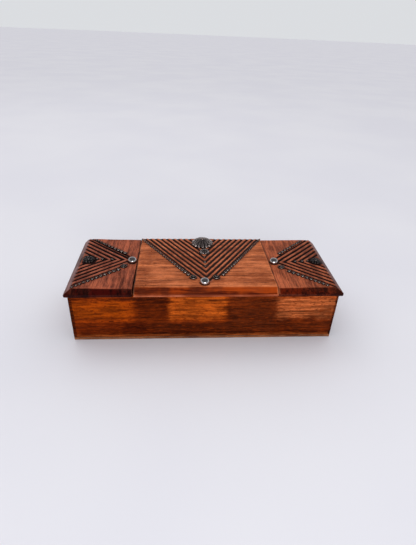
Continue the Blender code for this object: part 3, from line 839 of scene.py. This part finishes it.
def round_plan_corner(x, y, corner_x, corner_y, radius):
    """Bend the square corner of a grid into a quarter circle."""
    centre_x = corner_x - math.copysign(radius, corner_x)
    centre_y = corner_y - math.copysign(radius, corner_y)
    a = (x - centre_x) / (corner_x - centre_x)
    b = (y - centre_y) / (corner_y - centre_y)
    inside = (a > 0.0) & (b > 0.0)
    new_x = np.where(inside, centre_x + (corner_x - centre_x) * a * np.sqrt(1.0 - b * b * inside / 2.0), x)
    new_y = np.where(inside, centre_y + (corner_y - centre_y) * b * np.sqrt(1.0 - a * a * inside / 2.0), y)
    return new_x, new_y


def lip_ring(lid, rim, rise, tuck):
    """Copy of the rim lower down, drawn in by a share of each side's inset."""
    left = LIP_NOSE_INSET if lid.sign < 0 else LIP_ARRIS
    right = LIP_NOSE_INSET if lid.sign > 0 else LIP_ARRIS
    start = rim.min(axis=0) + tuck * np.array([left, LIP_NOSE_INSET, 0.0])
    end = rim.max(axis=0) - tuck * np.array([right, LIP_ARRIS, 0.0])
    share = (rim - rim.min(axis=0)) / (rim.max(axis=0) - rim.min(axis=0))
    ring = start + share * (end - start)
    ring[:, 2] = lid.low.z + rise * (LIP_HEIGHT - lid.tilt)
    return ring


def lid_mesh(lid):
    """Closed board: the worked top as a fine grid, the edge around it, and a flat underside."""
    left, right, front, back = lid.edges()
    xs = grid_lines(lid.low.x, lid.high.x, left, right)
    ys = grid_lines(lid.low.y, lid.high.y, front, back)
    x, y = np.meshgrid(xs, ys)
    z = lid.height(x, y)
    if lid.sign:
        x, y = round_plan_corner(x, y, lid.outer_x(), lid.low.y, FRONT_CORNER_RADIUS)
        x, y = round_plan_corner(x, y, lid.outer_x(), lid.high.y, BACK_CORNER_RADIUS)
    taper = lid.seam_taper * lid.inner_share(x) * (lid.high.y - y) / (lid.high.y - lid.low.y)
    x = x - taper
    rows, columns = x.shape
    index = np.arange(rows * columns).reshape(rows, columns)
    points = np.stack([x.ravel(), y.ravel(), z.ravel()], axis=1)
    corners = (index[:-1, :-1], index[:-1, 1:], index[1:, 1:], index[1:, :-1])
    faces = np.stack([corner.ravel() for corner in corners], axis=1).tolist()
    rim = np.concatenate([index[0, :], index[1:, -1], index[-1, -2::-1], index[-2:0:-1, 0]])
    loops = [rim]
    for rise, tuck in LIP_CURVE:
        loops.append(np.arange(len(rim)) + len(points))
        points = np.concatenate([points, lip_ring(lid, points[rim], rise, tuck)])
    for upper, lower in zip(loops, loops[1:]):
        sides = (upper, lower, np.roll(lower, -1), np.roll(upper, -1))
        faces += np.stack(sides, axis=1).tolist()
    faces.append(loops[-1][::-1].tolist())
    mesh = bpy.data.meshes.new(lid.node)
    mesh.from_pydata(points.tolist(), [], faces)
    mesh.update()
    return mesh


def hinge_place(hinge):
    """Centre of a hinge on its axis, the way into the box, and the direction of the axis."""
    middle = centre_of(f"{hinge}_pin")
    span = size_of(f"{hinge}_pin")
    if span.x > span.y:
        return middle, Vector((0, -1, 0)), Vector((1, 0, 0))
    return middle, Vector((-math.copysign(1.0, middle.x), 0, 0)), Vector((0, 1, 0))


def gain_cutter(hinge, direction):
    """L-shaped cutter for one leaf's recess and the barrel's, above (+1) or below (-1) the joint.

    It starts well outside the board and on the far side of the joint, so that it cuts both faces."""
    middle, inwards, axis = hinge_place(hinge)
    leaf_floor = direction * (LEAF_THICKNESS + LEAF_CLEARANCE)
    barrel_floor = direction * (BARREL_RADIUS + BARREL_CLEARANCE)
    barrel_side = BARREL_RADIUS + GAP
    inside = LEAF_REACH + GAP
    outside = -4 * BARREL_RADIUS
    far = -2 * direction * BARREL_RADIUS
    outline = [(outside, far), (inside, far), (inside, leaf_floor)]
    outline += [(barrel_side, leaf_floor), (barrel_side, barrel_floor), (outside, barrel_floor)]
    bm = bmesh.new()
    half = HINGE_HALF_LENGTH + GAP
    ends = []
    for v in (-half, half):
        ring = [bm.verts.new(middle + inwards * u + axis * v + Vector((0, 0, z))) for u, z in outline]
        bm.faces.new(ring)
        ends.append(ring)
    join_rings(bm, *ends)
    return mesh_from_bmesh("gain", bm)


def paint_lid(lid, mesh, spots):
    """Store dirt with painted shade, wear with painted highlight, and worked parts for the wood's material.
    """
    x, y, z = vertex_places(mesh)
    on_top = z > lid.low.z + LIP_HEIGHT
    carving = lid.carving
    # Darker in the grooves, the pits and inside the last V: dirt, with painted shade in the grooves.
    groove = carving.groove(x, y) ** GROOVE_GRIME_AND_SHADE_POWER
    dirt_and_shade = np.maximum(groove, lid.pit_share(x, y))
    dirt_and_shade = np.maximum(dirt_and_shade, carving.inside(x, y) * INSIDE_GRIME)
    # Painted shade and dirt around the beads and ornaments that stand on the lid.
    for spot_x, spot_y, radius in spots:
        away = np.hypot(x - spot_x, y - spot_y) - radius * SPOT_SHARE
        dirt_and_shade = np.maximum(dirt_and_shade, SPOT_SHADE_AND_GRIME - smooth_step(away, 0.0, SPOT_REACH))
        dirt_and_shade = np.maximum(dirt_and_shade, SMUDGE_SHADE_AND_GRIME * (1.0 - smooth_step(away, 0.0, SMUDGE_REACH)))
    # Painted shade and dirt along the seams between the lids.
    for seam_x, strength in lid.seams():
        dirt_and_shade = np.maximum(dirt_and_shade, strength - smooth_step(np.abs(x - seam_x), *SEAM_REACH))
    store_attribute(mesh, "grime_and_shade", np.where(on_top, dirt_and_shade, 0.0))
    left, right, front, _ = lid.edges()
    # Lighter along the arrises: wear with a painted highlight.
    wear_and_highlight = 0.0 * x
    for distance, inset in ((y - lid.low.y, front), (x - lid.low.x, left), (lid.high.x - x, right)):
        wear_and_highlight = np.maximum(wear_and_highlight, 1.0 - smooth_step(np.abs(distance - inset), *WEAR_AND_HIGHLIGHT_REACH))
    store_attribute(mesh, "wear_and_highlight", np.where(on_top, wear_and_highlight * (1.0 - groove), 0.0))
    store_attribute(mesh, "ridge", np.where(on_top, carving.ridge(x, y), 0.0))
    # Bevel and lip masks: painted shade in front, a painted reflection at the outer end, light and shade on
    # the lip.
    ahead = lid.low.y + front - y
    beyond = np.abs(x) - (abs(lid.outer_x()) - CHAMFER_INSET) if lid.sign else 0.0 * x - 1.0
    above = z > lid.low.z + LIP_ARRIS / 10
    store_attribute(mesh, "shaded_front_bevel", smooth_step(ahead, *BEVEL_REACH) * (ahead > beyond) * above)
    store_attribute(mesh, "outer_bevel_reflection", smooth_step(beyond, *BEVEL_REACH) * (beyond >= ahead) * above)
    store_attribute(mesh, "lip_light_and_shade", smooth_step(lid.low.z + LIP_HEIGHT - z, -LIP_BLEND, LIP_BLEND) * above)


# Ornaments


def turned_shape(profile, segments, lobes=0, lobe_depth=0.0):
    """Points, faces and hollowness of a turned form from (radius, height, share) rings, bottom to top.

    Lobes are rounded ribs with sharp creases between them, and the share says how deep they are. On a
    plain form the share says how blackened the ring is."""
    points = []
    hollow = []
    faces = []
    for radius, height, share in profile:
        for i in range(segments):
            angle = math.tau * i / segments
            crease = 1.0 - abs(math.cos(lobes * angle / 2)) ** 0.75 if lobes else 0.0
            reach = radius * (1.0 - lobe_depth * share * crease)
            points.append((reach * math.cos(angle), reach * math.sin(angle), height))
            hollow.append(crease * min(1.0, 1.5 * share) if lobes else share)
    for ring in range(len(profile) - 1):
        for i in range(segments):
            j = (i + 1) % segments
            low = ring * segments
            high = low + segments
            faces.append((low + i, low + j, high + j, high + i))
    faces.append(tuple(range(segments))[::-1])
    last = (len(profile) - 1) * segments
    faces.append(tuple(last + i for i in range(segments)))
    return points, faces, hollow


def dome(radius, base, top, steps, first=0):
    """Rings of a dome from base to top. A first step below 0 turns its foot under."""
    turns = [math.pi / 2 * step / steps for step in range(first, steps)]
    return [(radius * math.cos(turn), base + (top - base) * math.sin(turn), 0) for turn in turns]


def stud_profile(radius, height):
    """Ball-topped stud: a waisted foot under a domed head."""
    rings = [(0.86 * radius, 0.0, 0), (0.88 * radius, 0.06 * height, 0), (0.84 * radius, 0.16 * height, 0)]
    rings += dome(radius, 0.30 * height, height, 15, -3)
    rings.append((0.02 * radius, height, 0))
    return rings


def umbrella_profile(radius, height):
    """Ribbed shell like an open umbrella: a thin rim, a steepening cone, and a knob at the top."""
    rings = [(radius * 0.97, 0.0, 0.60), (radius, 0.05 * height, 0.80), (radius, 0.16 * height, 1.0)]
    for step in range(1, 17):
        spread = 1.0 - (1.0 - 0.16) * step / 16
        rings.append((radius * spread, height * (0.16 + 0.70 * (1.0 - spread ** 2.3)), 0.35 + 0.65 * spread))
    rings += dome(0.14 * radius, 0.86 * height, height, 6, -1)
    rings.append((0.02 * radius, height, 0))
    return rings


def rosette_profile(radius, height):
    """Low ribbed disc with a raised centre bead."""
    rings = [(radius * 0.98, 0.0, 0.6), (radius, 0.08 * height, 1.0)]
    for step in range(1, 9):
        share = step / 8
        swell = math.sin(math.pi * (0.5 + 0.42 * share))
        level = 0.14 + 0.46 * swell * share ** 0.5
        rings.append((radius * (1.0 - 0.66 * share), height * level, 1.0 - 0.3 * share))
    rings += dome(0.30 * radius, 0.30 * height, height, 7)
    rings.append((0.02 * radius, height, 0))
    return rings


def placed_mesh(name, parts):
    """Join (points, faces, hollow) parts, each moved by its own matrix, into one mesh."""
    points = []
    faces = []
    hollow = []
    for (part_points, part_faces, part_hollow), matrix in parts:
        start = len(points)
        points += [tuple(matrix @ Vector(point)) for point in part_points]
        faces += [tuple(start + i for i in face) for face in part_faces]
        hollow += part_hollow
    mesh = bpy.data.meshes.new(name)
    mesh.from_pydata(points, [], faces)
    mesh.update()
    store_attribute(mesh, "hollow", hollow)
    return mesh


def seat(lid, x, y):
    """Matrix that stands an ornament on the lid at a plan point, leaning with the lid's slope."""
    reach = 0.004
    plan_x = np.array([x - reach, x + reach])
    slope = lid.tilt * (lid.inner_share(plan_x)[1] - lid.inner_share(plan_x)[0]) / (2 * reach)
    ground = float(lid.ground(np.array([x]), np.array([y]))[0])
    normal = Vector((slope, 0.0, 1.0)).normalized()
    lean = Vector((0, 0, 1)).rotation_difference(normal).to_matrix().to_4x4()
    return Matrix.Translation((x, y, ground + BEAD_SEAT)) @ lean


def add_ornament(name, lid, node, profile, segments, lobes, depth, material, slot):
    """Finely turned ornament in the place and size of its CAD node."""
    middle = centre_of(node)
    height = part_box(node)[1].z - lid.high.z
    shape = turned_shape(profile(size_of(node).x / 2, height), segments, lobes, depth)
    mesh = placed_mesh(name, [(shape, seat(lid, middle.x, middle.y))])
    finish_mesh(name, mesh, material, lid.body, node, sharp=60.0)


def bead_shape(radius, height):
    """Domed bead with a thin turned-down rim."""
    rings = [(radius, 0.0, 0.9), (radius * 1.02, 0.10 * height, 0.9), (radius * 0.93, 0.22 * height, 0.9)]
    rings += dome(radius * 0.93, 0.22 * height, height, 7, 1)
    rings.append((0.03 * radius, height, 0))
    return turned_shape(rings, BEAD_SEGMENTS)


def ring_shape(radius, height):
    """Small round disc with a raised rim and a central bead, sunk between them."""
    rings = [(radius * out, height * up, black) for out, up, black in RING_PROFILE]
    return turned_shape(rings, RING_SEGMENTS)


def bead_places(carving, side, lid, rng):
    """(x, y, radius) for each bead of a row, growing towards the V's corner."""
    places = []
    first = carving.plan["bead_starts"][side]
    start = first
    while True:
        x, y = carving.point(side, start, carving.plan["beads"][side])
        inside_x = abs(x) < abs(lid.outer_x()) - CHAMFER_INSET if lid.sign else True
        if not inside_x or not lid.low.y + CHAMFER_INSET < y < lid.high.y - BEAD_EDGE:
            return places
        near = max(0.0, 1.0 - (start - first) / BEAD_RUN)
        radius = BEAD_SMALL + (BEAD_LARGE - BEAD_SMALL) * near
        places.append((x, y, radius))
        spacing = BEAD_TIGHT + (BEAD_WIDE - BEAD_TIGHT) * near
        start += spacing * rng.uniform(*BEAD_SPACINGS) * math.cos(carving.angles[side])


def add_beads(name, lid, node, places, rings, rng, material):
    """One row of separate beads, with any ring disc that starts it."""
    parts = []
    for x, y, radius in places:
        size = radius * rng.uniform(*BEAD_SIZES)
        shape = bead_shape(size, size * rng.uniform(*BEAD_HEIGHTS))
        turn = Matrix.Rotation(rng.uniform(0, math.tau), 4, "Z")
        lean = Matrix.Rotation(math.radians(rng.uniform(-BEAD_LEAN, BEAD_LEAN)), 4, "X")
        parts.append((shape, seat(lid, x, y) @ turn @ lean))
    for x, y, radius in rings:
        parts.append((ring_shape(radius, radius * RING_HEIGHT), seat(lid, x, y)))
    mesh = placed_mesh(name, parts)
    finish_mesh(name, mesh, material, lid.body, node, sharp=50.0)


# Boards of the body


def board_outline(node, rounded):
    """Plan corners of a board, with those on the rounded sides turned to a radius."""
    low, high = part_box(node)
    corners = [(high.x, high.y, 0), (low.x, high.y, 90), (low.x, low.y, 180), (high.x, low.y, 270)]
    outline = []
    for x, y, start in corners:
        if math.copysign(1, y) not in rounded:
            outline.append((x, y))
            continue
        centre_x = x - math.copysign(BODY_CORNER_RADIUS, x)
        centre_y = y - math.copysign(BODY_CORNER_RADIUS, y)
        for step in range(9):
            angle = math.radians(start + 90 * step / 8)
            reach = Vector((math.cos(angle), math.sin(angle))) * BODY_CORNER_RADIUS
            outline.append((centre_x + reach.x, centre_y + reach.y))
    return outline


def cut_across(bm, axis, low, high):
    """Add cross cuts along an axis so that the board's faces can be slightly uneven."""
    count = max(1, int((high - low) / BOARD_CUT_STEP))
    for index in range(1, count):
        place = Vector((0, 0, 0))
        normal = Vector((0, 0, 0))
        place[axis] = low + (high - low) * index / count
        normal[axis] = 1.0
        geometry = list(bm.verts) + list(bm.edges) + list(bm.faces)
        bmesh.ops.bisect_plane(bm, geom=geometry, plane_co=place, plane_no=normal)


def add_board(name, node, material, rounded=(), gains=()):
    """Board in the place of its CAD node, with soft uneven arrises and any hinge gains.

    Its corners are rounded at the front (-1), the back (1) or both."""
    low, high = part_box(node)
    outline = board_outline(node, rounded)
    bm = bmesh.new()
    rings = [[bm.verts.new((x, y, z)) for x, y in outline] for z in (low.z, high.z)]
    join_rings(bm, *rings)
    bm.faces.new(rings[0][::-1])
    bm.faces.new(rings[1])
    bm.normal_update()
    for axis in range(3):
        cut_across(bm, axis, low[axis], high[axis])
    bm.normal_update()
    sharp = [edge for edge in bm.edges if edge.calc_face_angle(0.0) > math.radians(50)]
    bmesh.ops.bevel(bm, geom=sharp, offset=BOARD_ARRIS, segments=3, profile=0.5, affect="EDGES")
    for vert in bm.verts:
        x, y, z = vert.co
        swell = BOARD_WAVE * float(ripple(x + 0.7 * z, y + 0.4 * z, BOARD_WAVE_SIZE, len(name)))
        vert.co -= vert.normal * abs(swell)
    mesh = mesh_from_bmesh(name, bm)
    if gains:
        mesh = cut_away(mesh, [gain_cutter(hinge, -1) for hinge in gains])
    finish_mesh(name, mesh, material, "box", node, sharp=40.0)


def add_felt(name, node, material):
    """Felt floor lining with a slightly wavy cut edge and a soft, uneven face."""
    low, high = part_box(node)
    bm = bmesh.new()
    xs = np.linspace(low.x, high.x, int((high.x - low.x) / FELT_STEP) + 1)
    ys = np.linspace(low.y, high.y, int((high.y - low.y) / FELT_STEP) + 1)
    grid = []
    for y in ys:
        row = []
        for x in xs:
            edge_x = min(x - low.x, high.x - x)
            edge_y = min(y - low.y, high.y - y)
            edge = min(edge_x, edge_y)
            swell = FELT_SWELL * float(ripple(x, y, FELT_SWELL_SIZE, FELT_SEED))
            droop = FELT_EDGE_DROOP * (1.0 - min(1.0, edge / FELT_STEP)) ** 2
            unevenness = float(ripple(x, y, FELT_EDGE_SIZE, FELT_SEED + 1))
            inset = FELT_EDGE_INSET * (1.0 + unevenness) * (edge < 1e-9)
            pull_x = inset * np.sign(low.x + high.x - 2 * x) * (edge == edge_x)
            pull_y = inset * np.sign(low.y + high.y - 2 * y) * (edge == edge_y)
            row.append(bm.verts.new((x + pull_x, y + pull_y, high.z + swell - droop - FELT_SINK)))
        grid.append(row)
    for lower, upper in zip(grid, grid[1:]):
        for i in range(len(lower) - 1):
            bm.faces.new((lower[i], lower[i + 1], upper[i + 1], upper[i]))
    border = grid[0] + [row[-1] for row in grid[1:]] + grid[-1][-2::-1] + [row[0] for row in grid[-2:0:-1]]
    base = [bm.verts.new((vert.co.x, vert.co.y, low.z + FELT_UNDER_GAP)) for vert in border]
    join_rings(bm, border, base)
    bm.faces.new(base[::-1])
    mesh = mesh_from_bmesh(name, bm)
    piece = finish_mesh(name, mesh, material, "box", node, sharp=70.0)


# Building the object


def build_beads(lid, material, rng):
    """The two rows beside the Vs, with their ring discs, and the tiny beads between the arms."""
    carving = lid.carving
    places = []
    for side, label in enumerate("ab"):
        row = bead_places(carving, side, lid, rng)
        rings = RINGS[lid.name].get(label, ())
        node = f"bead_row_{lid.name}_{label}"
        add_beads(f"beads_{lid.name}_{label}", lid, node, row, rings, rng, material)
        places += row + list(rings)
    middle = []
    for start in carving.plan["middle"]:
        middle.append((*carving.point(0, start, -start * math.sin(carving.angles[0])), MIDDLE_BEAD_RADIUS))
    node = f"bead_row_{lid.name}_middle"
    add_beads(f"beads_{lid.name}_middle", lid, node, middle, (), rng, material)
    return places + middle


def build_lids(lids, materials):
    """Beads, then the carved boards with dirt and painted shade around everything that stands on them."""
    rng = random.Random(BEAD_SEED)
    for name, lid in lids.items():
        dirt_and_shade_spots = build_beads(lid, materials["dark_pewter_beads"], rng)
        for node in LID_ORNAMENTS[name]:
            place = centre_of(node)
            halo = ROSETTE_HALO if "rosette" in node else 0.0
            dirt_and_shade_spots.append((place.x, place.y, size_of(node).x / 2 + halo))
        mesh = lid_mesh(lid)
        mesh = cut_away(mesh, [gain_cutter(hinge, 1) for hinge in LID_HINGES[name]])
        paint_lid(lid, mesh, dirt_and_shade_spots)
        finish_mesh(f"carved_lid_{name}", mesh, materials[lid.body], lid.body, lid.node)


def build_ornaments(lids, materials):
    """Studs, bosses and rosettes. Each kind has: the piece's prefix, profile, segments, lobes, how deep
    the lobes are, metal and slot."""
    kinds = {
        "stud": ("polished", stud_profile, 64, 0, 0.0, "worn_nickel", "nickel"),
        "boss_large": ("fluted", umbrella_profile, 192, 16, 0.22, "blackened_silver", "pewter"),
        "boss_small": ("fluted", umbrella_profile, 120, 10, 0.22, "blackened_silver", "pewter"),
        "rosette": ("fluted", rosette_profile, 120, 10, 0.20, "dull_pewter", "pewter"),
    }
    for kind, (prefix, *form, finish, slot) in kinds.items():
        for name, lid in lids.items():
            for node in LID_ORNAMENTS[name]:
                if node.startswith(kind):
                    add_ornament(f"{prefix}_{node}", lid, node, *form, materials[finish], slot)


def build_body(materials):
    end = materials["end_wall"]
    add_board("front_board", "front_wall", materials["wall"], rounded=(-1,))
    add_board("back_board", "back_wall", materials["back_wall"], rounded=(1,), gains=LID_HINGES["centre"])
    add_board("left_end_board", "left_wall", end, gains=LID_HINGES["left"])
    add_board("right_end_board", "right_wall", end, gains=LID_HINGES["right"])
    add_board("base_board", "bottom_board", materials["base"], rounded=(-1, 1))
    add_board("divider_left", "partition_left", end)
    add_board("divider_right", "partition_right", end)
    for name in ("left", "centre", "right"):
        add_felt(f"felt_{name}", f"lining_{name}", materials["felt"])


def dress_hinges(brass):
    """The hinges keep their CAD shape, and get the brass."""
    for name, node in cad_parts.items():
        if name.startswith("hinge_"):
            node.data.materials.clear()
            node.data.materials.append(brass)


def make_materials():
    materials = {}
    for name, grain_axis in (("left_lid", "Y"), ("centre_lid", "X"), ("right_lid", "Y")):
        tones = WOOD_TONES[name]
        carved = CARVED_TONES[name]
        materials[name] = wood(f"{name}_wood", grain_axis, tones, specular=0.04, carved=carved)
    materials["wall"] = wood(
        "wall_wood", "X", WOOD_TONES["wall"], specular=0.02, stains_and_light=FRONT_STAINS_AND_PAINTED_LIGHT, flecking=0.8
    )
    plain = (("back_wall", "X", 0.05), ("end_wall", "Y", 0.05), ("base", "X", 0.2))
    for name, grain_axis, specular in plain:
        materials[name] = wood(f"{name}_wood", grain_axis, WOOD_TONES[name], specular)
    for name, finish in METALS.items():
        materials[name] = metal(name, *finish)
    materials["felt"] = felt("wine_felt")
    return materials


# Studio


def add_camera():
    """Camera at the photograph's viewing angle: turned, tipped down from the level, and rolled a little."""
    turn = Matrix.Rotation(CAMERA_YAW, 4, "Z") @ Matrix.Rotation(math.pi / 2 - CAMERA_PITCH, 4, "X")
    turn = turn @ Matrix.Rotation(CAMERA_ROLL, 4, "Z")
    data = bpy.data.cameras.new("camera")
    data.lens = CAMERA_LENS
    data.sensor_width = 36.0
    data.clip_start = 0.01
    camera = bpy.data.objects.new("camera", data)
    camera.matrix_world = Matrix.Translation(CAMERA_PLACE) @ turn
    bpy.context.scene.collection.objects.link(camera)
    bpy.context.scene.camera = camera


def add_floor():
    """Large plain pale floor, just under the base."""
    bm = bmesh.new()
    bmesh.ops.create_circle(bm, cap_ends=True, segments=64, radius=FLOOR_RADIUS)
    mesh = mesh_from_bmesh("floor", bm)
    shader = Shader("pale_floor")
    mottle = shader.noise(shader.object_place(), scale=3.0, detail=2.0)
    colour = shader.mix(mottle.ramp(0.3, 0.7), *FLOOR_TONES)
    shader.set(Base_Color=colour, Roughness=0.75, Specular_IOR_Level=0.0)
    mesh.materials.append(shader.material)
    floor = bpy.data.objects.new("floor", mesh)
    floor.location.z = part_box("bottom_board")[0].z - FLOOR_GAP
    bpy.context.scene.collection.objects.link(floor)


def add_light(name, kind, energy, mirrored):
    data = bpy.data.lights.new(name, kind)
    data.energy = energy
    light = bpy.data.objects.new(name, data)
    light.visible_glossy = mirrored
    bpy.context.scene.collection.objects.link(light)
    return light


def add_lights():
    """Two round area lights that face the box, and a very wide sun that keeps the far floor pale."""
    for name, (place, size, energy, colour, mirrored) in AREA_LIGHTS.items():
        light = add_light(name, "AREA", energy, mirrored)
        light.data.shape = "DISK"
        light.data.size = size
        light.data.color = colour
        light.location = place
        light.rotation_euler = (-Vector(place)).to_track_quat("-Z", "Y").to_euler()
    glow = add_light("glow", "SUN", GLOW_ENERGY, False)
    glow.data.angle = GLOW_SPREAD
    glow.rotation_euler = (GLOW_LEAN, 0, 0)


def add_world():
    """Pale all round, darker overhead, so that the polished studs have something to mirror."""
    world = bpy.data.worlds.new("studio")
    world.use_nodes = True
    bpy.context.scene.world = world
    tree = world.node_tree
    place = tree.nodes.new("ShaderNodeTexCoord")
    split = tree.nodes.new("ShaderNodeSeparateXYZ")
    ramp = tree.nodes.new("ShaderNodeMapRange")
    ramp.interpolation_type = "SMOOTHSTEP"
    ramp.inputs["From Min"].default_value = SKY_RAMP[0]
    ramp.inputs["From Max"].default_value = SKY_RAMP[1]
    mix = tree.nodes.new("ShaderNodeMix")
    mix.data_type = "RGBA"
    mix.inputs[6].default_value = SKY_ROUND
    mix.inputs[7].default_value = SKY_OVERHEAD
    tree.links.new(place.outputs["Generated"], split.inputs[0])
    tree.links.new(split.outputs[2], ramp.inputs["Value"])
    tree.links.new(ramp.outputs["Result"], mix.inputs["Factor"])
    tree.links.new(mix.outputs[2], tree.nodes["Background"].inputs["Color"])


def build_studio():
    add_camera()
    add_floor()
    add_world()
    add_lights()
    bpy.context.scene.view_settings.view_transform = "Standard"


build_studio()
MATERIALS = make_materials()
LIDS = {name: Lid(name) for name in LID_SHAPES}
build_lids(LIDS, MATERIALS)
build_ornaments(LIDS, MATERIALS)
build_body(MATERIALS)
dress_hinges(MATERIALS["aged_brass"])
